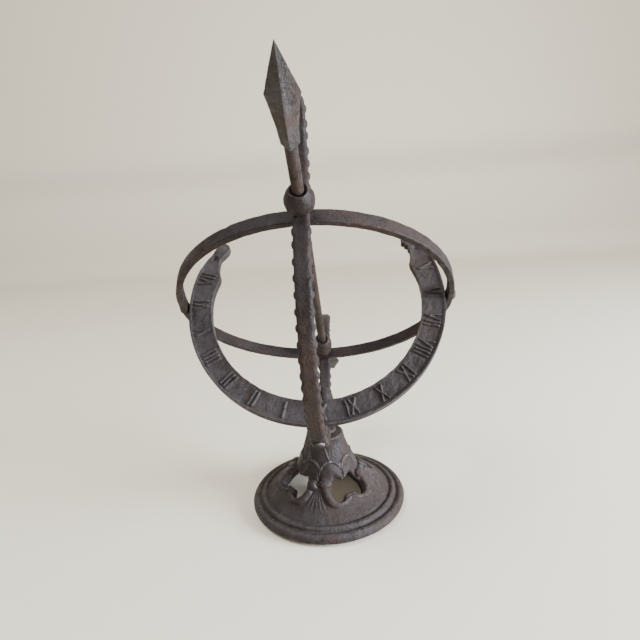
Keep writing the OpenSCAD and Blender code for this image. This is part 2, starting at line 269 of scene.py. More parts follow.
# Dark patinated cast iron: brown-black skin, cooler sheen, rust clouds, rubbed edges, pits and dust.
def castIron(name, v):
    mat = bpy.data.materials.new(name)
    mat.use_nodes = True
    tree = mat.node_tree
    shader = tree.nodes["Principled BSDF"]
    place = addNode(tree, "ShaderNodeTexCoord", (-1800, 0)).outputs["Object"]
    grain = putGroup(tree, "grain", (-1500, -300), place, Grain_Size=v["grain"], Lump_Size=v["lumps"])
    pits = putGroup(tree, "pits", (-1500, -600), place, Amount=v["pits"])
    wear = putGroup(tree, "wear", (-1500, 300), place, Amount=v["wear"], Full_At=v["edgeLimit"])
    rust = putGroup(tree, "rust", (-1500, 0), place, Spread=v["rust"])
    dust = putGroup(tree, "dust", (-1200, 500), place, Amount=v["dust"])
    tree.links.new(wear.outputs["Recess"], dust.inputs["Recess"])
    mottle = addNode(tree, "ShaderNodeTexNoise", (-1500, 700), Scale=v["mottle"], Detail=5.0,
                     Roughness=0.65)
    tree.links.new(place, mottle.inputs["Vector"])
    blotch = ramp(tree, (-1300, 700), 0.34, 0.66)
    tree.links.new(mottle.outputs["Fac"], blotch.inputs["Value"])
    colour = mixColour(tree, (-1050, 400), blotch.outputs["Result"], v["skin"], v["sheen"])
    colour = mixColour(tree, (-850, 400), rust.outputs["Mask"], colour, v["rustColour"])
    colour = mixColour(tree, (-650, 400), grain.outputs["Hollows"], colour, v["deep"])
    colour = mixColour(tree, (-450, 400), dust.outputs["Mask"], colour, v["dustColour"])
    colour = mixColour(tree, (-250, 400), wear.outputs["Mask"], colour, v["worn"])
    colour = mixColour(tree, (-50, 400), pits.outputs["Mask"], colour, v["deep"])
    tree.links.new(colour, shader.inputs["Base Color"])
    rough = addNode(tree, "ShaderNodeMapRange", (-850, 0))
    rough.inputs["To Min"].default_value = v["roughness"] + 0.1
    rough.inputs["To Max"].default_value = v["roughness"] - 0.1
    tree.links.new(grain.outputs["Height"], rough.inputs["Value"])
    dull = addNode(tree, "ShaderNodeMix", (-600, 0), data_type="FLOAT")
    dull.inputs["B"].default_value = 0.85
    tree.links.new(rust.outputs["Mask"], dull.inputs["Factor"])
    tree.links.new(rough.outputs["Result"], dull.inputs["A"])
    bright = addNode(tree, "ShaderNodeMix", (-400, 0), data_type="FLOAT")
    bright.inputs["B"].default_value = v["roughness"] - 0.14
    tree.links.new(wear.outputs["Mask"], bright.inputs["Factor"])
    tree.links.new(dull.outputs["Result"], bright.inputs["A"])
    tree.links.new(bright.outputs["Result"], shader.inputs["Roughness"])
    metal = addNode(tree, "ShaderNodeMapRange", (-400, 200))
    metal.inputs["To Min"].default_value = v["metal"]
    metal.inputs["To Max"].default_value = min(1.0, v["metal"] + 0.45)
    tree.links.new(wear.outputs["Mask"], metal.inputs["Value"])
    tree.links.new(metal.outputs["Result"], shader.inputs["Metallic"])
    pitBump = addNode(tree, "ShaderNodeBump", (-600, -500), Strength=0.4)
    pitBump.inputs["Distance"].default_value = 0.35 * mm
    tree.links.new(pits.outputs["Height"], pitBump.inputs["Height"])
    bump = addNode(tree, "ShaderNodeBump", (-350, -400), Strength=v["bump"])
    bump.inputs["Distance"].default_value = 1.1 * mm
    tree.links.new(grain.outputs["Height"], bump.inputs["Height"])
    tree.links.new(pitBump.outputs["Normal"], bump.inputs["Normal"])
    tree.links.new(bump.outputs["Normal"], shader.inputs["Normal"])
    shader.inputs["Specular IOR Level"].default_value = v["specular"]
    return mat


ironBase = {
    "skin": (0.0152, 0.0099, 0.00891),
    "sheen": (0.0302, 0.023, 0.023),
    "rustColour": (0.0345, 0.021, 0.0165),
    "deep": (0.011, 0.008, 0.008),
    "worn": (0.105, 0.088, 0.085),
    "dustColour": (0.066, 0.056, 0.053),
    "roughness": 0.47,
    "metal": 0.1,
    "specular": 0.16,
    "grain": 1050.0,
    "lumps": 240.0,
    "mottle": 95.0,
    "pits": 0.16,
    "wear": 0.55,
    "edgeLimit": 0.58,         # how sharp an edge must be to wear right through
    "rust": 0.44,
    "dust": 0.3,
    "bump": 0.95,
}
ironFoot = castIron("castIronFoot",
                    {**ironBase, "skin": (0.0211, 0.0145, 0.0132), "rust": 0.46, "dust": 0.55, "wear": 1.0,
                     "edgeLimit": 0.535})
ironRing = castIron("castIronRing",
                    {**ironBase, "skin": (0.0105, 0.0062, 0.0056), "sheen": (0.022, 0.0158, 0.0158),
                     "worn": (0.075, 0.062, 0.062), "wear": 0.6})
ironBand = castIron("castIronHourBand",
                    {**ironBase, "skin": (0.0211, 0.0158, 0.0152), "sheen": (0.0374, 0.031, 0.031),
                     "wear": 0.6, "dust": 0.45, "rust": 0.42})
ironArrow = castIron("castIronArrow",
                     {**ironBase, "skin": (0.0172, 0.0132, 0.0139), "sheen": (0.0288, 0.0252, 0.0274),
                      "wear": 0.5, "edgeLimit": 0.66, "pits": 0.1, "specular": 0.3})
ironRod = castIron("darkRod", {**ironBase, "skin": (0.0172, 0.0119, 0.0112),
                               "sheen": (0.0324, 0.0238, 0.023), "rust": 0.52, "pits": 0.08, "wear": 0.3,
                               "dust": 0.1})
ironRivet = castIron("rivetIron",
                     {**ironBase, "worn": (0.34, 0.32, 0.31), "wear": 1.1, "metal": 0.45,
                      "roughness": 0.46})
fixingSteel = castIron("dullSteel",
                       {**ironBase, "skin": (0.20, 0.19, 0.18), "sheen": (0.30, 0.29, 0.27),
                        "worn": (0.5, 0.49, 0.47), "rustColour": (0.16, 0.07, 0.03),
                        "dustColour": (0.25, 0.22, 0.2), "rust": 0.42, "metal": 0.8, "roughness": 0.42,
                        "bump": 0.2, "pits": 0.05})
print("materials ready")


# Mesh helpers

# Smooth seeded unevenness from -1 to 1 at each point, made of turned sine waves of that size in mm.
def wave(points, size, seed, octaves=3):
    rng = np.random.default_rng(seed)
    points = np.asarray(points, float)
    total = np.zeros(len(points))
    for k in range(octaves):
        for _ in range(5):
            way = rng.normal(size=3)
            way /= np.linalg.norm(way)
            total += np.sin(points @ way * (2 * math.pi * 1.6 ** k / size) + rng.uniform(0, 2 * math.pi)) / 1.5 ** k
    return total / (5 * sum(1.5 ** -k for k in range(octaves)) ** 0.5) * 1.2


def gridFaces(rows, columns, wrapRows=False, wrapColumns=False):
    r = np.arange(rows if wrapRows else rows - 1)
    c = np.arange(columns if wrapColumns else columns - 1)
    a, b = np.meshgrid(r, c, indexing="ij")
    a2, b2 = (a + 1) % rows, (b + 1) % columns
    return np.stack([a * columns + b, a2 * columns + b, a2 * columns + b2, a * columns + b2],
                    -1).reshape(-1, 4)


def makeMesh(name, points, faces, material, smooth=True):
    mesh = bpy.data.meshes.new(name)
    mesh.from_pydata([tuple(p) for p in points], [], [tuple(int(i) for i in f) for f in faces])
    mesh.validate()
    bm = bmesh.new()
    bm.from_mesh(mesh)
    loose = [v for v in bm.verts if not v.link_faces]
    bmesh.ops.delete(bm, geom=loose, context="VERTS")
    bmesh.ops.recalc_face_normals(bm, faces=bm.faces)
    bm.to_mesh(mesh)
    bm.free()
    mesh.materials.append(material)
    for p in mesh.polygons:
        p.use_smooth = smooth
    obj = bpy.data.objects.new(name, mesh)
    bpy.context.scene.collection.objects.link(obj)
    return obj


# Fills the open ends of a swept piece.
def closedSection(obj):
    bm = bmesh.new()
    bm.from_mesh(obj.data)
    bmesh.ops.holes_fill(bm, edges=[e for e in bm.edges if e.is_boundary], sides=0)
    bmesh.ops.recalc_face_normals(bm, faces=bm.faces)
    for f in bm.faces:
        f.smooth = True
    bm.to_mesh(obj.data)
    bm.free()


def joinPieces(name, objects):
    bpy.ops.object.select_all(action="DESELECT")
    for o in objects:
        o.select_set(True)
    bpy.context.view_layer.objects.active = objects[0]
    bpy.ops.object.join()
    objects[0].name = name
    return objects[0]


# Takes the cutters out of the piece and removes them.
def cutAway(obj, cutters):
    for c in cutters:
        m = obj.modifiers.new("cut", "BOOLEAN")
        m.operation = "DIFFERENCE"
        m.solver = "EXACT"
        m.object = c
    graph = bpy.context.evaluated_depsgraph_get()
    mesh = bpy.data.meshes.new_from_object(obj.evaluated_get(graph))
    obj.modifiers.clear()
    obj.data = mesh
    for c in cutters:
        bpy.data.objects.remove(c)


# A round bar along the arrow's axis, used as a cutter.
def localRod(name, radius, start, end, material, sides=48):
    turn = np.linspace(0, 2 * math.pi, sides, endpoint=False)
    rows = [np.stack([radius * np.cos(turn), radius * np.sin(turn), np.full(sides, z)],
                     -1) for z in (start, end)]
    obj = makeMesh(name, toWorld(np.concatenate(rows)), gridFaces(2, sides, wrapColumns=True), material)
    closedSection(obj)
    return obj


# Even points on a smooth curve through the controls.
def roundedPath(controls, count):
    p = np.array(controls, float)
    ends = [p[0] * 2 - p[1], p[-1] * 2 - p[-2]]
    q = np.vstack([ends[0], p, ends[1]])
    fine = []
    for k in range(1, len(q) - 2):
        t = np.linspace(0, 1, 24, endpoint=False)[:, None]
        a, b, c, d = q[k - 1], q[k], q[k + 1], q[k + 2]
        fine.append(0.5 * (2 * b + (c - a) * t + (2 * a - 5 * b + 4 * c - d) * t ** 2 + (3 * b - a - 3 * c + d) * t ** 3))
    fine = np.vstack([*fine, p[-1:]])
    run = np.concatenate([[0], np.cumsum(np.linalg.norm(np.diff(fine, axis=0), axis=1))])
    at = np.linspace(0, run[-1], count)
    return np.stack([np.interp(at, run, fine[:, k]) for k in range(p.shape[1])], -1)


# Turns a profile of (radius, height) pairs in mm; place takes mm points to the shared frame.
def lathe(name, profile, sides, place, material, ripple=0.0, seed=1, count=None):
    profile = roundedPath(profile, count) if count else np.array(profile, float)
    turn = np.linspace(0, 2 * math.pi, sides, endpoint=False)
    radius, height = profile[:, 0], profile[:, 1]
    pts = np.stack([np.outer(radius, np.cos(turn)), np.outer(radius, np.sin(turn)),
                    np.repeat(height[:, None], sides, 1)], -1).reshape(-1, 3)
    if ripple:
        away = pts.copy()
        away[:, 2] = 0
        length = np.linalg.norm(away, axis=1)[:, None]
        pts = pts + away / np.maximum(length,
                                      1e-6) * (ripple * wave(pts, 7, seed) * (length[:, 0] > 1e-3))[:, None]
    obj = makeMesh(name, place(pts), gridFaces(len(profile), sides, wrapColumns=True), material)
    closedSection(obj)
    return obj


def fromFoot(points):
    return np.asarray(points, float) * mm


# Closed section of a rounded bar: (across, outward) pairs, anticlockwise.
def roundRect(width, depth, radius, corner=5, edge=5):
    out = []
    for k, (sx, sy) in enumerate(((1, 1), (-1, 1), (-1, -1), (1, -1))):
        cx, cy = sx * (width / 2 - radius), sy * (depth / 2 - radius)
        start = math.pi / 2 * k
        for t in np.linspace(0, math.pi / 2, corner):
            out.append((cx + radius * math.cos(start + t), cy + radius * math.sin(start + t)))
        nx, ny = ((-1, 1), (-1, -1), (1, -1), (1, 1))[k]
        a = np.array(out[-1])
        nextStart = math.pi / 2 * ((k + 1) % 4)
        b = np.array([nx * (width / 2 - radius) + radius * math.cos(nextStart),
                      ny * (depth / 2 - radius) + radius * math.sin(nextStart)])
        for t in np.linspace(0, 1, edge + 1)[1:-1]:
            out.append(tuple(a + (b - a) * t))
    return np.array(out)


# Foot

footValues = {
    "sides": 840,
    "rows": 250,
    "openings": 4,
    "firstOpening": -57.0,     # degrees
    "scrollHeight": 1.6,       # mm, as all lengths below
    "tieHeight": 2.9,
    "petalEdge": 0.85,
    "petalFoot": 24.6,
    "petalRise": 5.9,
    # each half of an opening: circles as (distance out, degrees from its middle, radius)
    "lobes": ((22.2, 0.0, 3.1), (23.8, 16.3, 4.15), (20.4, 16.3, 2.5), (21.8, 9.0, 3.3)),
    "lobeBlend": 0.55,
    # a scroll from the tie to the cusp: (distance out, degrees from the opening's middle)
    "scrollPath": ((19.8, 38), (21.6, 35.5), (24.5, 31.8), (27.1, 27.6),
                   (28.75, 20.5), (28.7, 12.5), (27.7, 5.2), (26.9, 0.8)),
    "scrollWidths": (1.0, 1.7, 2.2, 2.2, 1.75, 1.15, 0.85, 0.4),
    # the tie's two lobes: place across, half width, distance out, half length and share of its height
    "tieLobes": ((-3.3, 3.8, 20.9, 2.1, 0.95), (3.4, 4.0, 20.2, 1.7, 0.8)),
    "unevenness": 0.11,
}


# Distance in mm to the nearest opening's edge, negative inside; the lobes flow into each other.
def openingDistance(rho, phi, v):
    x, y = rho * np.cos(phi), rho * np.sin(np.abs(phi))
    each = [np.hypot(x - r * math.cos(math.radians(t)), y - r * math.sin(math.radians(t))) - size
            for r, t, size in v["lobes"]]
    soft = v["lobeBlend"]
    return -soft * np.log(np.exp(-np.stack(each) / soft).sum(0))


# Height of the cast relief along the outward normal, worked out in half of one sector.
def footRelief(v, rho, z, phi, step, edge):
    h = np.zeros(len(rho))
    flat = np.stack([rho * np.cos(phi), rho * np.sin(np.abs(phi))], -1)
    onBell = (z > 6.5) & (rho > 11)

    # A raised rounded strip along a path of (distance, degrees), with a half width at each point.
    def strip(pathPoints, widths, height, power=0.6, where=None):
        line = roundedPath([(r * math.cos(math.radians(t)), r * math.sin(math.radians(t)), w)
                            for (r, t), w in zip(pathPoints, widths)], 60)
        use = np.where(onBell if where is None else onBell & where)[0]
        best = np.full(len(use), 1e9)
        wide = np.ones(len(use))
        for p in line:
            gap = np.hypot(flat[use, 0] - p[0], flat[use, 1] - p[1]) / p[2]
            closer = gap < best
            best[closer] = gap[closer]
            wide[closer] = p[2]
        out = np.zeros(len(rho))
        out[use] = height * np.minimum(wide / 2.0, 1.15) * np.clip(1 - best ** 2, 0, 1) ** power
        return out

    scroll = strip(v["scrollPath"], v["scrollWidths"], v["scrollHeight"])
    h = np.maximum(h, scroll)
    tieAngle = step / 2 - np.abs(phi)
    side = np.sign(phi)
    across = tieAngle * rho * -side      # positive towards the opening with the lower angle
    for mid, half, low, reach, tall in v["tieLobes"]:
        lump = 1 - ((across - mid) / half) ** 2 - ((rho - low) / reach) ** 2
        h -= np.where(onBell & (tieAngle < 0.5), 0.9 * np.clip(1 - np.abs(lump + 0.3) / 0.4, 0, 1), 0)
        h = np.maximum(h, np.where(onBell & (lump > 0) & (tieAngle < 0.5),
                                   v["tieHeight"] * tall * np.sqrt(np.clip(lump, 0, 1)), 0))
    # leaf veins below the tie and below the cusp between the two scrolls
    spread = np.degrees(tieAngle)
    fade = np.clip((rho - 21.5) / 1.5, 0, 1) * np.clip((32.5 - rho) / 5, 0, 1)
    for t, r in ((0.0, 0.6), (4.6, 0.5), (9.0, 0.45)):
        drift = t * np.clip((rho - 20) / 9, 0, 1.3)
        gap = np.abs(spread - drift) * np.pi / 180 * rho
        h = np.maximum(h, np.where(onBell, fade * 0.34 * np.clip(1 - (gap / (r + 0.25)) ** 2, 0, 1), 0))
    cusp = np.degrees(np.abs(phi))
    fade = np.clip((rho - 26.6) / 1.2, 0, 1) * np.clip((35 - rho) / 6, 0, 1)
    for t in (0.0, 3.4, 6.6):
        drift = t * np.clip((rho - 26) / 6, 0, 1.5)
        gap = np.abs(cusp - drift) * np.pi / 180 * rho
        h -= np.where(onBell & (scroll < 0.2), fade * 0.42 * np.clip(1 - (gap / 0.5) ** 2, 0, 1), 0)
    # petals round the neck, two to an opening
    u = (np.degrees(np.abs(phi)) - 180 / v["openings"] / 2) / (180 / v["openings"] / 2)
    edgeZ = v["petalFoot"] + v["petalRise"] * np.sqrt(np.clip(1 - u ** 2, 0, 1))
    above = z - edgeZ
    tilt = np.abs(u) / np.sqrt(np.clip(1 - u ** 2, 0.05,
                                       1)) * v["petalRise"] / (rho * math.pi / v["openings"] / 2)
    gap = np.abs(above) / np.sqrt(1 + tilt ** 2)
    ridge = v["petalEdge"] * np.clip(1 - (gap / 0.95) ** 2, 0, 1)
    petal = np.where((above < 0) & (z > 20.2),
                     0.75 * np.sin(math.pi * np.clip(-above / 9.5, 0,
                                                     1)) * np.clip(1 - u ** 2, 0, 1) ** 0.5, 0)
    seam = np.where((z > 21) & (z < edgeZ + 0.5),
                    -0.45 * np.clip(1 - ((1 - np.abs(u)) * 5 / 0.7) ** 2, 0, 1), 0)
    h = np.maximum(h, np.where(onBell & (z > 20.5), ridge, 0)) + np.where(onBell, petal + seam, 0)
    # low ribs that lean up the neck from the petals
    lean = (z - 30.3) * 1.5
    sector = np.degrees(phi)
    for mid in (22.5, -22.5):
        gap = np.abs(sector - mid + lean) * np.pi / 180 * rho
        rib = 0.42 * np.clip(1 - (gap / 0.8) ** 2, 0, 1) * np.clip((z - 29.8) / 1.5, 0,
                                                                   1) * np.clip((40 - z) / 5, 0, 1)
        h += rib
    # the opening's rim is rounded over
    h -= 0.7 * np.clip(1 - edge / 0.9, 0, 1) ** 2
    return h


def footPiece(v):
    rim = inFoot[1][0] - 0.05
    top = inFoot[1][2] - 0.05
    outerKeys = [(rim - 3.2, 0.06), (rim - 0.7, 0.06), (rim - 0.1, 0.7), (rim, 1.9), (rim - 0.6, 3.3),
                 (rim - 1.9, 4.4),
                 (rim - 3.4, 4.55), (rim - 4.5, 4.1), (rim - 5.1, 4.35), (rim - 5.7, 5.4), (rim - 6.7, 6.1),
                 (rim - 7.8, 6.1), (rim - 8.7, 5.55), (rim - 9.5, 5.75), (rim - 10.6, 6.6), (31.8, 9.2),
                 (26.4, 13.9), (21.4, 18.4), (18.1, 22), (16.2, 26), (14.1, 31), (12.6, 35.5), (11.5, 40),
                 (11.05, top - 0.9), (10.6, top - 0.15), (9.8, top), (2.62, top), (2.62, top - 0.6)]
    innerKeys = [(rim - 3.2, 0.06), (rim - 3.3, 0.4), (rim - 3.4, 0.8), (rim - 3.6, 1.2), (rim - 3.9, 1.6),
                 (rim - 4.2, 1.9), (rim - 4.6, 2.2), (rim - 5, 2.5), (rim - 5.6, 2.7), (rim - 6.5, 2.8),
                 (rim - 7.5, 2.9),
                 (rim - 8.5, 3.1), (rim - 9.5, 3.4), (36, 3.6), (34.6, 4.1), (30, 6.4), (23.6, 11),
                 (18.6, 15.7),
                 (14.6, 19.4), (12.1, 21.6), (9.5, 24), (7.5, 24.02), (5, 24.02), (2.64, 24.1), (2.63, 25),
                 (2.62, 27), (2.62, 34), (2.62, top - 0.6)]
    rows, sides = v["rows"], v["sides"]
    outer = roundedPath(outerKeys[:-1], 4000)
    keyPlace = [np.argmin(np.linalg.norm(outer - k, axis=1)) for k in outerKeys[:-1]]
    run = np.linspace(0, 1, 4000)
    inner = np.stack([np.interp(run, run[keyPlace], [k[i] for k in innerKeys[:-1]]) for i in (0, 1)], -1)
    slope = np.gradient(outer, axis=0)
    slope /= np.linalg.norm(slope, axis=1)[:, None]
    normal = np.stack([slope[:, 1], -slope[:, 0]], -1)
    s, a = np.meshgrid(np.linspace(0, 1, rows), np.linspace(0, 2 * math.pi, sides, endpoint=False),
                       indexing="ij")
    s, a = s.ravel(), a.ravel()

    def at(curve, share):
        return np.stack([np.interp(share, run, curve[:, i]) for i in (0, 1)], -1)

    step = 2 * math.pi / v["openings"]

    # Signed angle from the nearest opening's middle.
    def folded(angle):
        return (angle - math.radians(v["firstOpening"]) + step / 2) % step - step / 2

    rho, z = at(outer, s).T
    phi = folded(a)
    d = np.where((rho < 31) & (rho > 16) & (z > 8), openingDistance(rho, phi, v), 9.0)
    faces = gridFaces(rows, sides, wrapColumns=True)
    hole = d[faces].mean(1) < 0
    kept = faces[~hole]
    rimVerts = np.intersect1d(np.unique(faces[hole]), np.unique(kept))
    for _ in range(3):
        e = 0.02
        rr, pp = rho[rimVerts], phi[rimVerts]
        base = openingDistance(rr, pp, v)
        byRho = (openingDistance(rr + e, pp, v) - base) / e
        byPhi = (openingDistance(rr, pp + e / rr, v) - base) / e
        size = np.maximum(byRho ** 2 + byPhi ** 2, 0.2)
        rho[rimVerts] = rr - base * byRho / size
        a[rimVerts] += -base * byPhi / size / rr
        phi[rimVerts] = folded(a[rimVerts])
    climb = (outer[:, 1] > 7) & (outer[:, 0] > 11.2)
    order = np.argsort(outer[climb, 0])
    s[rimVerts] = np.interp(rho[rimVerts], outer[climb, 0][order], run[climb][order])
    rho, z = at(outer, s).T

    edge = np.where(d < 8, openingDistance(rho, phi, v), 9.0)
    h = footRelief(v, rho, z, phi, step, edge)
    n = at(normal, s)
    pts = np.stack([(rho + h * n[:, 0]) * np.cos(a), (rho + h * n[:, 0]) * np.sin(a), z + h * n[:, 1]], -1)
    away = np.stack([n[:, 0] * np.cos(a), n[:, 0] * np.sin(a), n[:, 1]], -1)
    lumpy = v["unevenness"] * wave(pts, 11, 4) + 0.5 * v["unevenness"] * wave(pts, 3.2, 5, 2)
    quiet = np.clip((rim - np.hypot(pts[:, 0], pts[:, 1])) / 3, 0.15,
                    1) * np.clip(z / 1.0, 0, 1) * np.clip((top - z) / 1.5, 0, 1)
    pts += away * (lumpy * quiet)[:, None]
    overRim = np.hypot(pts[:, 0], pts[:, 1]) / rim
    pts[:, :2] /= np.maximum(overRim, 1)[:, None]
    ri, zi = at(inner, s).T
    under = np.stack([ri * np.cos(a), ri * np.sin(a), zi], -1)
    count = len(pts)
    boundary = {}
    for f in kept:
        for p, q in zip(f, np.roll(f, -1)):
            key = (min(p, q), max(p, q))
            boundary[key] = None if key in boundary else (p, q)
    walls = [(q, p, p + count, q + count) for e in boundary.values() if e is not None for p, q in [e]]
    allFaces = np.concatenate([kept, kept[:, ::-1] + count, np.array(walls)])
    obj = makeMesh("footCasting", fromFoot(np.concatenate([pts, under])), allFaces, ironFoot)
    bm = bmesh.new()
    bm.from_mesh(obj.data)
    bmesh.ops.remove_doubles(bm, verts=bm.verts, dist=0.002 * mm)
    bmesh.ops.dissolve_degenerate(bm, edges=bm.edges, dist=0.002 * mm)
    bmesh.ops.recalc_face_normals(bm, faces=bm.faces)
    bm.to_mesh(obj.data)
    bm.free()
    return obj


inFoot = [np.array(c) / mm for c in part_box("foot")]
foot = footPiece(footValues)
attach(foot, "foot")
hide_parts("foot")
print("foot", len(foot.data.polygons))


# The meridian arc: a beaded bar swept from one curled tip, round the sphere, to the other

barValues = {
    "width": 7.3,
    "tipCurl": 50.0,
    "tipTurn": 54.0,
    "beadEvery": 5.0,          # degrees along the arc
    "beadHalf": 1.55,
    "beadOut": 0.7,
    "corner": 1.6,
    "step": 0.32,
    "unevenness": 0.1,
}


def beadProfile(run, places, half, out):
    total = np.zeros(len(run))
    for p in places:
        total = np.maximum(total, out * np.sqrt(np.clip(1 - ((run - p) / half) ** 2, 0, 1)))
    return total


def barPiece(v):
    inner = inSphere("plain_ring")[1][0]
    outer = -inSphere("meridian_arc")[0][1]
    thick = outer - inner
    mid = (inner + outer) / 2
    curl, turn = v["tipCurl"], math.radians(v["tipTurn"])
    arcRun, tipRun = math.pi * mid, curl * turn
    end = v["width"] / 2 - 0.05
    full = arcRun + 2 * tipRun + 2 * end
    count = int(full / v["step"])
    run = np.linspace(-tipRun - end, arcRun + tipRun + end, count)
    place, away = np.zeros((count, 2)), np.zeros((count, 2))
    for k, t in enumerate(run):
        if 0 <= t <= arcRun:
            a = t / mid
            away[k] = (-math.sin(a), math.cos(a))
            place[k] = away[k] * mid
        else:
            sign = 1 if t < 0 else -1
            b = (-t if t < 0 else t - arcRun) / curl
            away[k] = (-math.sin(b), math.cos(b) * sign)
            place[k] = (curl * math.sin(b), sign * (mid + curl - curl * math.cos(b)))
    pitch = math.radians(v["beadEvery"]) * mid
    seat = math.radians(90 + latitude) * mid
    beads = [p for p in np.arange(1.5 * pitch, arcRun - pitch, pitch) if abs(p - seat) > 1.2 * pitch]
    tipBeads = np.arange(2, 9) * tipRun / 8.5
    beads = np.concatenate([beads, -tipBeads, arcRun + tipBeads])
    beads += np.random.default_rng(3).normal(0, 0.18, len(beads))
    bump = beadProfile(run, beads, v["beadHalf"], v["beadOut"])
    past = np.clip(np.maximum(-tipRun - run, run - arcRun - tipRun) / end, 0, 0.999)
    taper = np.sqrt(1 - past ** 2)
    section = roundRect(v["width"], thick - 0.04, v["corner"], 6, 9)
    x = section[:, 0] / (v["width"] / 2)
    y = section[:, 1]
    dome = np.sqrt(np.clip(1 - (y / (thick / 2)) ** 2, 0, 1)) * np.clip(np.abs(x) * 2.2 - 1.2, 0, 1)
    across = x[None, :] * (v["width"] / 2) * taper[:,
                                                   None] + np.sign(x)[None, :] * dome[None, :] * (bump * taper)[:, None]
    outward = np.repeat(y[None, :], count, 0) * np.clip(taper * 2.5, 0, 1)[:, None] ** 0.5
    pts = np.stack([across,
                    place[:, 0, None] + away[:, 0, None] * outward,
                    place[:, 1, None] + away[:, 1, None] * outward], -1).reshape(-1, 3)
    pts[:, 0] += v["unevenness"] * wave(pts, 9, 11)
    drift = 0.6 * v["unevenness"] * wave(pts, 6, 12)
    pts[:, 1:] += np.repeat(away, len(section), 0) * np.minimum(drift, 0)[:, None]
    bar = makeMesh("meridianBar", toWorld(pts), gridFaces(count, len(section), wrapColumns=True), ironRing)
    closedSection(bar)
    return bar


latitude = math.degrees(math.asin(alongArrow[2]))
bar = barPiece(barValues)
rodRadius = 2.5
cutAway(bar, [localRod("holeAbove", rodRadius + 0.3, 60, 90, ironRing),
              localRod("holeBelow", rodRadius - 0.2, -90, -60, ironRing)])
seatLow = inFoot[1][2] + 0.08
seat = lathe("arcSeat", [(0, seatLow), (6.3, seatLow), (6.85, seatLow + 0.5), (6.9, seatLow + 1.6),
                         (6.4, seatLow + 2.5), (4.5, seatLow + 2.8),
                         (0, seatLow + 2.8)], 72, fromFoot, ironRing, 0.1, 6)
for piece, node in ((bar, "meridian_arc"), (seat, None)):
    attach(piece, "sphere")
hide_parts("meridian_arc")
print("bar", len(bar.data.polygons))


# The plain ring, with a few old knocks along its edges

ringValues = {
    "width": 7.1,
    "shift": -0.75,            # towards the ring's lower face
    "thickness": 3.5,
    "corner": 0.7,
    "sides": 900,
    "knocks": 16,
    "unevenness": 0.13,
}


def ringPiece(v):
    outer = inSphere("plain_ring")[1][0] - 0.02
    section = roundRect(v["width"], v["thickness"], v["corner"], 5, 8)
    turn = np.linspace(0, 2 * math.pi, v["sides"], endpoint=False)
    radius = outer - v["thickness"] / 2 + section[:, 1]
    pts = np.stack([np.outer(np.cos(turn), radius), np.repeat(section[None, :, 0], v["sides"], 0),
                    np.outer(np.sin(turn), radius)], -1).reshape(-1, 3)
    side = np.tile(section / np.abs(section).max(0), (v["sides"], 1))
    rng = np.random.default_rng(8)
    t = np.repeat(turn, len(section))
    drop = np.clip(v["unevenness"] * (0.6 + wave(pts, 8, 21)), 0, None)
    for _ in range(v["knocks"]):
        at, half, deep = rng.uniform(0, 2 * math.pi), rng.uniform(0.6, 1.8) / outer, rng.uniform(0.2, 0.55)
        face, edge = rng.choice([-1, 1]), rng.choice([-1, 1])
        near = np.clip(1 - ((t - at) / half) ** 2, 0, 1)
        drop = drop + deep * near * np.clip(side[:, 0] * face - 0.7, 0,
                                            1) * np.clip(side[:, 1] * edge - 0.4, 0, 1) * 6
    pts[:, 1] -= side[:, 0] * drop
    away = np.stack([np.cos(t), np.zeros(len(t)), np.sin(t)], -1)
    pts -= away * (side[:, 1] * drop * 0.8)[:, None]
    pts[:, 1] += v["shift"]
    ring = makeMesh("plainRing", toWorld(pts), gridFaces(v["sides"], len(section), True, True), ironRing)
    cutAway(ring, [localRod("holeAbove", rodRadius + 0.3, 60, 90, ironRing),
                   localRod("holeBelow", rodRadius - 0.2, -90, -60, ironRing)])
    return ring


ring = ringPiece(ringValues)
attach(ring, "sphere")
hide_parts("plain_ring")
print("ring", len(ring.data.polygons))


# The hour band: a flat band with a lip, Roman figures in thin raised strokes and leaf-shaped ends

bandValues = {
    "outer": 71.6,
    "inner": 58.9,
    "back": -2.1,
    "front": 2.7,
    "lipHeight": 0.7,
    "lipWidth": 1.3,
    "half": 128.3,             # degrees to each leaf's tip
    "figureHeight": 1.0,
    "strokeHalf": 0.72,
    "strokeLength": 7.6,
    "strokeGap": 2.15,
    "step": 0.27,
    "unevenness": 0.16,
}


# Strokes of an hour's figures as pairs of ends, with their feet at y = 0 and centred on x.
def strokesOf(hour, v):
    text = ("I", "II", "III", "IIII", "V", "VI", "VII", "VIII", "IX", "X", "XI", "XII")[hour - 1]
    tall, half = v["strokeLength"], 1.65
    strokes, x = [], 0.0
    for c in text:
        wide = v["strokeGap"] if c == "I" else 2 * half + 1.3
        m = x + wide / 2
        strokes += {"I": [((m, 0), (m, tall))],
                    "V": [((m, 0), (m - half, tall)), ((m, 0), (m + half, tall))],
                    "X": [((m - half, 0), (m + half, tall)), ((m + half, 0), (m - half, tall))]}[c]
        x += wide
    return [((a[0] - x / 2, a[1]), (b[0] - x / 2, b[1])) for a, b in strokes]


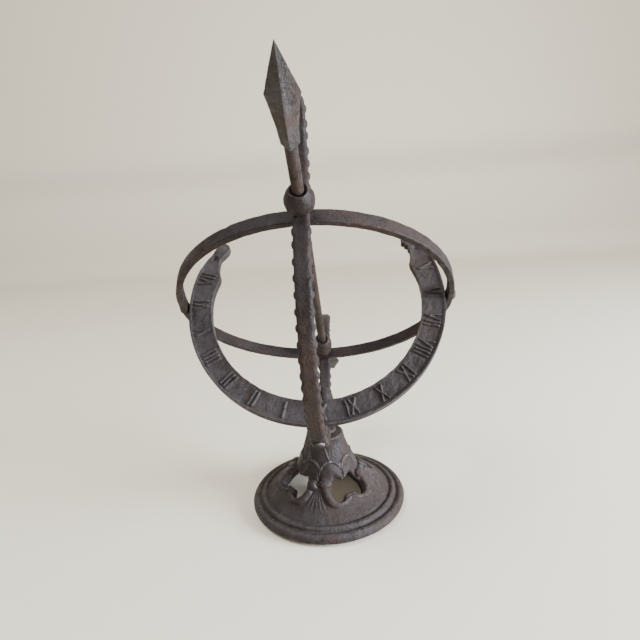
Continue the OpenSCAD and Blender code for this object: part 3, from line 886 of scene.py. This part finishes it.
def bandPiece(v):
    half = v["half"]
    alpha = np.linspace(-half, half, int(2 * math.radians(half) * 66 / v["step"]))
    deg = np.abs(alpha)
    east = alpha > 0
    keys = [0, 94, 99, 104, 107, 109.5, 112, 114.5, 117, 119.5, 121.5, 124.5, 127, 128, half]
    slid = deg - np.where(east, 2.0, -0.8) * np.clip((deg - 90) / 12, 0, 1) * np.clip((126 - deg) / 8, 0, 1)
    inEdge = np.interp(slid, keys, [58.9, 58.9, 58.5, 58.0, 57.9, 58.6, 60.6, 62.2, 63.2, 63.9, 63.3, 62.9,
                                    64.0, 65.5, 67.2])
    outEdge = np.interp(slid, keys,
                        [71.6, 71.6, 71.6, 71.6, 71.6, 71.5, 71.3, 71.1, 70.7, 70.0, 70.2, 70.8, 70.4, 69.0,
                         67.6])
    smooth = np.hanning(9) / np.hanning(9).sum()
    for edge in (inEdge, outEdge):
        padded = np.pad(edge, 4, mode="edge")
        edge[:] = np.convolve(padded, smooth, "valid")
    for p, r in ((119.4, 0.6), (121.8, 0.75), (124.4, 0.8)):
        inEdge -= np.where(east, r * np.sqrt(np.clip(1 - ((deg - p) / 1.15) ** 2, 0, 1)), 0)
    inEdge += 0.18 * wave(np.stack([inEdge * np.cos(np.radians(alpha)), inEdge * np.sin(np.radians(alpha)),
                                    0 * alpha], -1), 7, 31)
    faceCount = 42
    # one section: across the back, up the outer side, over the lip, along the face, down the inner side
    share, lift, kind = [], [], []
    for t in np.linspace(0.03, 0.97, 8):
        share.append(t), lift.append(0.0), kind.append(0)
    for t, z in ((0.99, 0.02), (1.0, 0.08), (1.0, 0.35), (1.0, 0.65), (1.0, 0.93), (0.992, 0.985)):
        share.append(t), lift.append(z), kind.append(1)
    for t in np.linspace(0.975, 0.025, faceCount):
        share.append(t), lift.append(1.0), kind.append(2)
    for t, z in ((0.006, 0.97), (0.0, 0.9), (0.0, 0.6), (0.0, 0.3), (0.0, 0.08), (0.01, 0.015)):
        share.append(t), lift.append(z), kind.append(3)
    share, lift, kind = np.array(share), np.array(lift), np.array(kind)
    radius = inEdge[:, None] + (outEdge - inEdge)[:, None] * share[None, :]
    thick = v["front"] - v["back"]
    thin = np.interp(deg, [0, 112, 118, 124, 127.5, half], [1, 1, 0.97, 1.0, 0.8, 0.45])
    z = v["back"] + thick * (1 - thin)[:, None] * 0.5 + thick * thin[:, None] * lift[None, :]
    a = np.repeat(np.radians(alpha)[:, None], len(share), 1)
    fromOuter = outEdge[:, None] - radius
    lip = v["lipHeight"] * np.clip((v["lipWidth"] + 0.3 - fromOuter) / 0.45, 0,
                                   1) * np.clip((111 - deg) / 1.5, 0, 1)[:, None]
    onFace = (kind == 2)[None, :]
    z = z + np.where(onFace | (lift > 0.9)[None, :], lip, 0)
    figure = np.zeros_like(z)
    for h in range(5, 20):
        at = math.radians((12 - h) * 15)
        turn = a - at
        near = (np.abs(turn) < math.radians(7)) & onFace
        if not near.any():
            continue
        px = -radius[near] * np.sin(turn[near])
        py = radius[near] * np.cos(turn[near]) - 61.3
        best = np.full(len(px), 9.0)
        for k, (p, q) in enumerate(strokesOf((h - 1) % 12 + 1, v)):
            p, q = np.array(p), np.array(q)
            way = q - p
            t = np.clip(((px - p[0]) * way[0] + (py - p[1]) * way[1]) / (way @ way), 0, 1)
            wobble = 0.10 * np.sin(t * 5 + k * 2.1 + h)
            best = np.minimum(best, np.hypot(px - p[0] - way[0] * t - wobble, py - p[1] - way[1] * t))
        figure[near] = v["figureHeight"] * np.clip(1 - (best / v["strokeHalf"]) ** 2, 0, 1) ** 0.75
    z = z + figure
    flat = np.stack([radius * np.sin(a), -radius * np.cos(a), 0 * a], -1)
    dent = np.hypot((radius - 67.6) / 1.5, radius * (np.abs(a) - math.radians(117.8)))
    z = z - np.where(onFace, 1.7 * np.exp(-(dent / 1.25) ** 2), 0)
    z = z + np.where(onFace, v["unevenness"] * wave(flat.reshape(-1, 3), 5,
                                                    33).reshape(z.shape) - 0.5 * np.sin(math.pi * np.clip(share, 0, 1))[None, :] ** 0.6, 0)
    pts = flat.reshape(-1, 3)
    pts[:, 2] = z.ravel()
    band = makeMesh("hourBand", toWorld(pts), gridFaces(len(alpha), len(share), wrapColumns=True), ironBand)
    closedSection(band)
    return band


# A cast lug: a block with rounded edges.
def softBlock(name, low, high, material, bevel=0.7):
    bm = bmesh.new()
    bmesh.ops.create_cube(bm, size=1)
    low, high = np.array(low, float), np.array(high, float)
    for p in bm.verts:
        p.co = Vector(low + (np.array(p.co) + 0.5) * (high - low))
    bmesh.ops.bevel(bm, geom=list(bm.edges), offset=bevel, segments=4, profile=0.5, affect="EDGES")
    bmesh.ops.subdivide_edges(bm, edges=bm.edges, cuts=2, use_grid_fill=True)
    points = [tuple(p.co) for p in bm.verts]
    faces = [[q.index for q in f.verts] for f in bm.faces]
    bm.free()
    points = np.array(points)
    points = points + 0.12 * np.stack([wave(points, 5, s) for s in (41, 42, 43)], -1)
    return makeMesh(name, toWorld(points), faces, material)


band = bandPiece(bandValues)
lugs = []
ringInner = inSphere("plain_ring")[1][0] - ringValues["thickness"]
for sign in (-1, 1):
    xs = sorted((sign * (ringInner - 5.4), sign * (ringInner - 0.25)))
    lugs.append(softBlock("lug", (xs[0], -4.4, -6.9), (xs[1], 4.4, -1.3), ironBand))
lugs.append(softBlock("lug", (-4.4, -75.7, -1.95), (4.4, -70.2, 2.5), ironBand))
band = joinPieces("hourBand", [band] + lugs)
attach(band, "sphere")
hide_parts("hour_band", "hour_numerals")
print("band", len(band.data.polygons))


# The bosses that the rod turns in

bossValues = {
    "sides": 128,
    "clearance": 0.06,         # mm, round the rod
    "journalClearance": 0.06,
    "journal": 2.0,            # radius of the rod's thin end
    "longerMouth": 2.5,        # how far the lower cup's mouth is brought in along the rod
    "northRipple": 0.14,
    "southRipple": 0.12,
}


def northBossPiece(v):
    low, high = inSphere("north_boss")
    base, mouth, wide = low[2], high[2], high[0] - 0.08
    bore = rodRadius + v["clearance"]
    profile = [(bore, base + 0.05), (4.3, base + 0.05), (5.4, base + 0.9), (6.3, base + 2.3),
               (wide, base + 4.3),
               (6.45, base + 6.4), (5.6, base + 8.4), (4.75, mouth - 0.9), (4.3, mouth - 0.25),
               (3.95, mouth - 0.05), (3.55, mouth - 0.35), (3.0, mouth - 1.0), (bore, mouth - 1.7),
               (bore, mouth - 5), (bore, base + 0.05)]
    return lathe("northBoss", profile, v["sides"], toWorld, ironRing, v["northRipple"], 51)


def southBossPiece(v):
    low, high = inSphere("south_boss")
    base, mouth = low[2], high[2] + v["longerMouth"]
    bore, small = rodRadius + v["clearance"], v["journal"] + v["journalClearance"]
    profile = [(small, base + 0.05), (3.2, base + 0.05), (4.2, base + 2.6), (5.5, base + 6.8),
               (6.0, base + 11.4),
               (5.9, base + 15.4), (5.1, mouth - 1.4), (4.2, mouth - 0.15), (3.6, mouth - 0.1),
               (bore + 0.1, mouth - 0.7), (bore, mouth - 1.5), (bore, -59.9), (small, -60.0),
               (small, base + 0.05)]
    return lathe("southBoss", profile, v["sides"], toWorld, ironRing, v["southRipple"], 52)


for boss, node in ((northBossPiece(bossValues), "north_boss"), (southBossPiece(bossValues), "south_boss")):
    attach(boss, "sphere")
    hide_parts(node)


# The bud that caps the bolt

budValues = {
    "sides": 160,
    "rows": 110,
    "petals": 5,
    "petalTwist": 0.35,        # share of a petal's width, from foot to tip
    "petalDepth": 0.154,
}


def budPiece(v):
    low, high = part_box("bud_cap_nut")
    base, tip = low.z / mm, high.z / mm - 0.05
    profile = roundedPath([(0.1, base), (3.9, base), (4.25, base + 0.5), (4.3, base + 1.6),
                           (3.7, base + 3.2),
                           (3.8, base + 5.4), (5.9, base + 8.6), (6.8, base + 12.5), (6.7, base + 15.5),
                           (5.8, base + 19), (4.1, base + 22), (2.0, tip - 0.9), (0.9, tip - 0.25),
                           (0.1, tip)],
                          v["rows"])
    turn = np.linspace(0, 2 * math.pi, v["sides"], endpoint=False)
    pts = np.stack([np.outer(profile[:, 0], np.cos(turn)), np.outer(profile[:, 0], np.sin(turn)),
                    np.repeat(profile[:, 1:2], v["sides"], 1)], -1).reshape(-1, 3)
    share = (pts[:, 2] - base) / (tip - base)
    around = np.tile(turn, len(profile)) * v["petals"] / (2 * math.pi) + v["petalTwist"] * share
    fold = np.clip(np.abs((around % 1) - 0.5) * 2, 0, 1)
    dip = np.clip((share - 0.25) / 0.15, 0, 1) * (1 - np.sqrt(1 - fold ** 4))
    pts[:, :2] *= (1 - v["petalDepth"] * dip)[:, None]
    shape = makeMesh("budNut", fromFoot(pts), gridFaces(len(profile), v["sides"], wrapColumns=True),
                     ironRing)
    closedSection(shape)
    return shape


bud = budPiece(budValues)
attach(bud, "sphere")
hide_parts("bud_cap_nut")


# Three domed rivets: two at the sides and one at noon

rivetValues = {
    "sides": 64,
    "rows": 60,
    "shank": 1.5,
    "sideDepth": 5,            # mm, as the next
    "noonDepth": 9,
    "ripple": 0.12,
}
ringEdge = inSphere("plain_ring")[1][0]
arcFront = inSphere("meridian_arc")[0][1]


def rivet(name, place, depth, seed, v):
    profile = [(0.02, -depth), (v["shank"], -depth), (v["shank"], -0.2), (2.4, -0.05), (3.0, 0.05),
               (3.05, 0.5),
               (2.6, 1.25), (1.7, 1.75), (0.7, 1.93), (0.02, 1.95)]
    return lathe(name, profile, v["sides"], place, ironRivet, v["ripple"], seed, v["rows"])


def eastRivet(points):
    p = np.asarray(points, float)
    return toWorld(np.stack([p[:, 2] + ringEdge, p[:, 0], p[:, 1]], -1))


def westRivet(points):
    p = np.asarray(points, float)
    return toWorld(np.stack([-p[:, 2] - ringEdge, p[:, 0], -p[:, 1]], -1))


def noonRivet(points):
    p = np.asarray(points, float)
    return toWorld(np.stack([p[:, 0], -p[:, 2] + arcFront, p[:, 1]], -1))


sideHeads = joinPieces("sideRivets",
                       [rivet("eastRivet", eastRivet, rivetValues["sideDepth"], 61, rivetValues),
                                      rivet("westRivet", westRivet, rivetValues["sideDepth"], 62,
                                            rivetValues)])
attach(sideHeads, "sphere")
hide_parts("side_rivets")
noonHead = rivet("noonRivet", noonRivet, rivetValues["noonDepth"], 63, rivetValues)
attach(noonHead, "sphere")
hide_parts("band_rivet")
print("bosses, bud and rivets")


# The arrow's rod, thinner where it passes the lower boss

rodValues = {
    "sides": 48,
    "body": 2.49,              # radii in mm
    "journal": 1.99,
    "step": -59.8,             # place of the step along the arrow
}


def rodPiece(v):
    low, high = inSphere("arrow_rod")
    body, thin, step = v["body"], v["journal"], v["step"]
    keys = [(0.02, low[2] + 0.02), (thin - 0.3, low[2] + 0.02), (thin, low[2] + 0.35)]
    keys += [(thin, z) for z in np.linspace(low[2] + 2, step - 0.05, 30)]
    keys += [(body - 0.25, step + 0.02), (body, step + 0.25)]
    keys += [(body, z) for z in np.linspace(step + 1, high[2] - 0.5, 140)]
    keys += [(body - 0.3, high[2]), (0.02, high[2])]
    return lathe("arrowRod", keys, v["sides"], toWorld, ironRod)


# The four-sided arrowhead, with a ridge down each face and hollowed flanks

headValues = {
    "rows": 170,
    "quarterSides": 28,
    "widestAt": 20.5,          # mm from its back
    "taperFrom": 14,
    "backHalf": 3.7,
    "backCurve": 1.7,
    "edgeSoftness": 1.07,      # 1 for sharp edges
    "hollow": 0.05,
}


def headPiece(v):
    low, high = inSphere("arrowhead")
    back, tip, half, ridge = low[2], high[2], high[0] - 0.08, high[1] - 0.05
    length, widest, backHalf = tip - back, v["widestAt"], v["backHalf"]
    quarter = (1 - np.cos(np.linspace(0, math.pi, v["quarterSides"] + 1)[:-1])) * math.pi / 4
    turn = np.concatenate([quarter + k * math.pi / 2 for k in range(4)])
    u = np.concatenate([[0], np.linspace(0.3, length - 0.12, v["rows"] - 1)])
    corner = np.where(u > widest, half * (length - u) / (length - widest),
                      backHalf + (half - backHalf) * (u / widest) ** v["backCurve"])
    tall = ridge * np.minimum((length - u) / (length - v["taperFrom"]), 1)
    soft = v["edgeSoftness"]
    flat = np.abs(np.cos(turn)[None, :] / corner[:, None]) ** soft
    flat = flat + np.abs(np.sin(turn)[None, :] / tall[:, None]) ** soft
    radius = flat ** (-1 / soft) * (1 - v["hollow"] * np.sin(2 * turn)[None, :] ** 2)
    radius[0] *= 0.93
    along = np.repeat((back + u + 0.02)[:, None], len(turn), 1)
    pts = np.stack([radius * np.cos(turn), radius * np.sin(turn), along], -1).reshape(-1, 3)
    grip = np.clip((tip - pts[:, 2]) / 10, 0, 1)
    pts[:, :2] *= (1 - 0.03 * grip * (1 + wave(pts, 6, 71)))[:, None]
    head = makeMesh("arrowHead", toWorld(pts), gridFaces(v["rows"], len(turn), wrapColumns=True), ironArrow)
    closedSection(head)
    return head


# The flat leaf-shaped tail, with slanting barbs on both faces and a round quill

featherValues = {
    "rows": 120,
    "columns": 60,
    "outlineAt": (0, 0.08, 0.2, 0.34, 0.5, 0.7, 0.88, 1),
    "outline": (0.3, 0.55, 0.86, 1.0, 0.97, 0.8, 0.68, 0.6),   # shares of its full half width
    "notch": 5.6,
    "barb": 0.16,
    "barbEvery": 2.6,
    "half": 1.15,              # half thickness
}


def featherPiece(v):
    low, high = inSphere("arrow_feather")
    top, bottom, wide = high[2], low[2], high[0] - 0.05
    t = np.linspace(0, 1, v["rows"])[:, None]
    edge = np.interp(t, v["outlineAt"], np.array(v["outline"]) * wide)
    across = np.linspace(-1, 1, v["columns"])[None, :]
    side = []
    for face in (1, -1):
        x = edge * across
        z = top - t * (top - bottom) + v["notch"] * np.clip(t * 3 - 2, 0, 1) * (1 - np.abs(across))
        slant = (top - z) - np.abs(x) * 0.9
        barb = v["barb"] * np.abs(np.sin(slant * math.pi / v["barbEvery"]))
        skin = v["half"] * (1 - np.abs(across) ** 6) ** 0.5 * (0.72 + 0 * x)
        y = face * (skin + barb * (1 - np.abs(across) ** 4) - 0.03)
        side.append(np.stack([x, np.clip(y, -1.17, 1.17), z], -1).reshape(-1, 3))
    faces = gridFaces(v["rows"], v["columns"])
    bothFaces = np.concatenate([faces, faces[:, ::-1] + len(side[0])])
    leaf = makeMesh("leaf", toWorld(np.concatenate(side)), bothFaces, ironArrow)
    bm = bmesh.new()
    bm.from_mesh(leaf.data)
    bmesh.ops.remove_doubles(bm, verts=bm.verts, dist=0.08 * mm)
    bm.to_mesh(leaf.data)
    bm.free()
    closedSection(leaf)
    profile = [(2.02, bottom + 6.3), (2.5, bottom + 6.2), (3.0, bottom + 7), (3.2, bottom + 9),
               (3.25, top - 2.5),
               (3.1, top - 0.6), (2.7, top - 0.05), (2.02, top - 0.05)]
    quill = lathe("quill", profile, 64, toWorld, ironArrow, 0.08, 81, 40)
    return joinPieces("tailFeather", [leaf, quill])


for piece, node, slot in ((rodPiece(rodValues), "arrow_rod", "rod"),
                          (headPiece(headValues), "arrowhead", "small_castings"),
                          (featherPiece(featherValues), "arrow_feather", "small_castings")):
    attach(piece, "arrow")
    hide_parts(node)
print("arrow")


# The bolt, its washer and nut, up inside the foot

fixingValues = {
    "boltSides": 48,
    "pitch": 0.8,
    "threadDepth": 0.38,
    "threadLength": 9,
    "nutSides": 96,
    "nutBore": 2.52,
    "nutChamfer": 0.75,
}


def boltPiece(v):
    low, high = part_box("stem_bolt")
    base, top = low.z / mm, high.z / mm
    sides, pitch, outer = v["boltSides"], v["pitch"], high.x / mm - 0.01
    height = np.arange(base + 0.1, top - 0.1, pitch / 8)
    turn = np.linspace(0, 2 * math.pi, sides, endpoint=False)
    h, t = np.meshgrid(height, turn, indexing="ij")
    groove = np.abs(((h / pitch - t / (2 * math.pi)) % 1) - 0.5) * 2
    threaded = np.clip((base + v["threadLength"] - h) / 0.8, 0, 1)
    chamfer = np.clip((h - base) / 0.8, 0, 1) * 0.3 + 0.7
    radius = (outer - v["threadDepth"] * threaded * groove ** 1.2) * chamfer
    pts = np.stack([radius * np.cos(t), radius * np.sin(t), h], -1).reshape(-1, 3)
    bolt = makeMesh("stemBolt", fromFoot(pts), gridFaces(len(height), sides, wrapColumns=True), fixingSteel)
    closedSection(bolt)
    return bolt


# Hexagonal nut whose corners are turned off at both ends.
def nutPiece(v):
    low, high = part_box("stem_nut")
    base, top = low.z / mm + 0.02, high.z / mm - 0.02
    flat = high.y / mm - 0.02
    corner = flat / math.cos(math.pi / 6)
    turned = flat + (corner - flat) * 0.1
    sides, bore, bevel = v["nutSides"], v["nutBore"], v["nutChamfer"]
    turn = np.linspace(0, 2 * math.pi, sides, endpoint=False)
    hexagon = flat / np.cos(((turn + math.pi / 3) % (math.pi / 3)) - math.pi / 6)
    rings = []
    for limit, z, sixSided in ((bore, base, False), (flat * 0.93, base, False), (turned, base + 0.25, True),
                               (corner, base + bevel, True), (corner, top - bevel, True),
                               (turned, top - 0.25, True), (flat * 0.93, top, False), (bore, top, False)):
        r = np.minimum(hexagon, limit) if sixSided else np.full(sides, limit)
        rings.append(np.stack([r * np.cos(turn), r * np.sin(turn), np.full(sides, z)], -1))
    faces = gridFaces(len(rings), sides, True, True)
    return makeMesh("stemNut", fromFoot(np.concatenate(rings)), faces, fixingSteel, False)


def washerPiece():
    low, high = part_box("stem_washer")
    base, top, wide = low.z / mm + 0.02, high.z / mm - 0.02, high.x / mm - 0.02
    profile = [(2.55, base + 0.1), (2.7, base), (wide - 0.3, base), (wide, base + 0.3), (wide, top - 0.15),
               (wide - 0.15, top), (2.7, top), (2.55, top - 0.1), (2.55, base + 0.1)]
    return lathe("stemWasher", profile, 96, fromFoot, fixingSteel)


for piece, node in ((boltPiece(fixingValues), "stem_bolt"), (nutPiece(fixingValues), "stem_nut"),
                    (washerPiece(), "stem_washer")):
    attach(piece, "sphere")
    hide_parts(node)
print("fixings")


# Stage

stageValues = {
    "floorColour": (0.80, 0.71, 0.56),
    "place": (0.0164, -0.2657, 0.1781),   # camera, metres from the middle of the foot
    "turn": 3.18,                         # degrees the view swings to the left of +Y
    "tilt": 13.89,                        # degrees it looks down
    "roll": -3.73,
    "lens": 27.06,
    # name, place, aim, size, power and colour
    "lights": (("windowLight", (1.0, -0.32, 0.30), (0, 0, 0.13), 0.6, 60, (0.78, 0.88, 1.0)),
               ("skyLight", (-0.55, -0.35, 1.35), (0, 0, 0.1), 0.7, 18, (0.86, 0.92, 1.0))),
    "roomColour": (0.95, 0.92, 0.86),
    "roomStrength": 0.75,
}


def addCamera(v):
    data = bpy.data.cameras.new("viewCamera")
    data.lens = v["lens"]
    data.sensor_width = 36.0
    data.clip_start = 0.01
    turn, tilt, roll = (math.radians(v[k]) for k in ("turn", "tilt", "roll"))
    forward = Vector((-math.sin(turn) * math.cos(tilt), math.cos(turn) * math.cos(tilt), -math.sin(tilt)))
    right = Vector((math.cos(turn), math.sin(turn), 0))
    up = right.cross(forward)
    side = right * math.cos(roll) + up * math.sin(roll)
    top = up * math.cos(roll) - right * math.sin(roll)
    matrix = Matrix((side, top, -forward)).transposed().to_4x4()
    matrix.translation = Vector(v["place"])
    cam = bpy.data.objects.new("viewCamera", data)
    cam.matrix_world = matrix
    bpy.context.scene.collection.objects.link(cam)
    bpy.context.scene.camera = cam


# A floor that curves up into a backdrop well behind the object.
def addFloor(v):
    depth = [(-1.2, 0), (0.9, 0), (1.15, 0.03), (1.35, 0.12), (1.48, 0.28), (1.54, 0.5), (1.56, 2.6)]
    line = roundedPath(depth, 60)
    points = [(x, y, z) for y, z in line for x in (-3.0, 3.0)]
    floor = makeMesh("floor", points, gridFaces(len(line), 2), bpy.data.materials.new("paleFloor"))
    mat = floor.data.materials[0]
    mat.use_nodes = True
    shader = mat.node_tree.nodes["Principled BSDF"]
    shader.inputs["Base Color"].default_value = (*v["floorColour"], 1)
    shader.inputs["Roughness"].default_value = 0.75


def addLight(name, place, aim, size, power, colour):
    data = bpy.data.lights.new(name, "AREA")
    data.shape = "DISK"
    data.size = size
    data.energy = power
    data.color = colour
    lamp = bpy.data.objects.new(name, data)
    lamp.location = place
    lamp.rotation_euler = (Vector(aim) - Vector(place)).to_track_quat("-Z", "Y").to_euler()
    bpy.context.scene.collection.objects.link(lamp)


addCamera(stageValues)
addFloor(stageValues)
for light in stageValues["lights"]:
    addLight(*light)
world = bpy.data.worlds.new("softRoom")
world.use_nodes = True
room = world.node_tree.nodes["Background"]
room.inputs["Color"].default_value = (*stageValues["roomColour"], 1)
room.inputs["Strength"].default_value = stageValues["roomStrength"]
bpy.context.scene.world = world
print("stage ready")
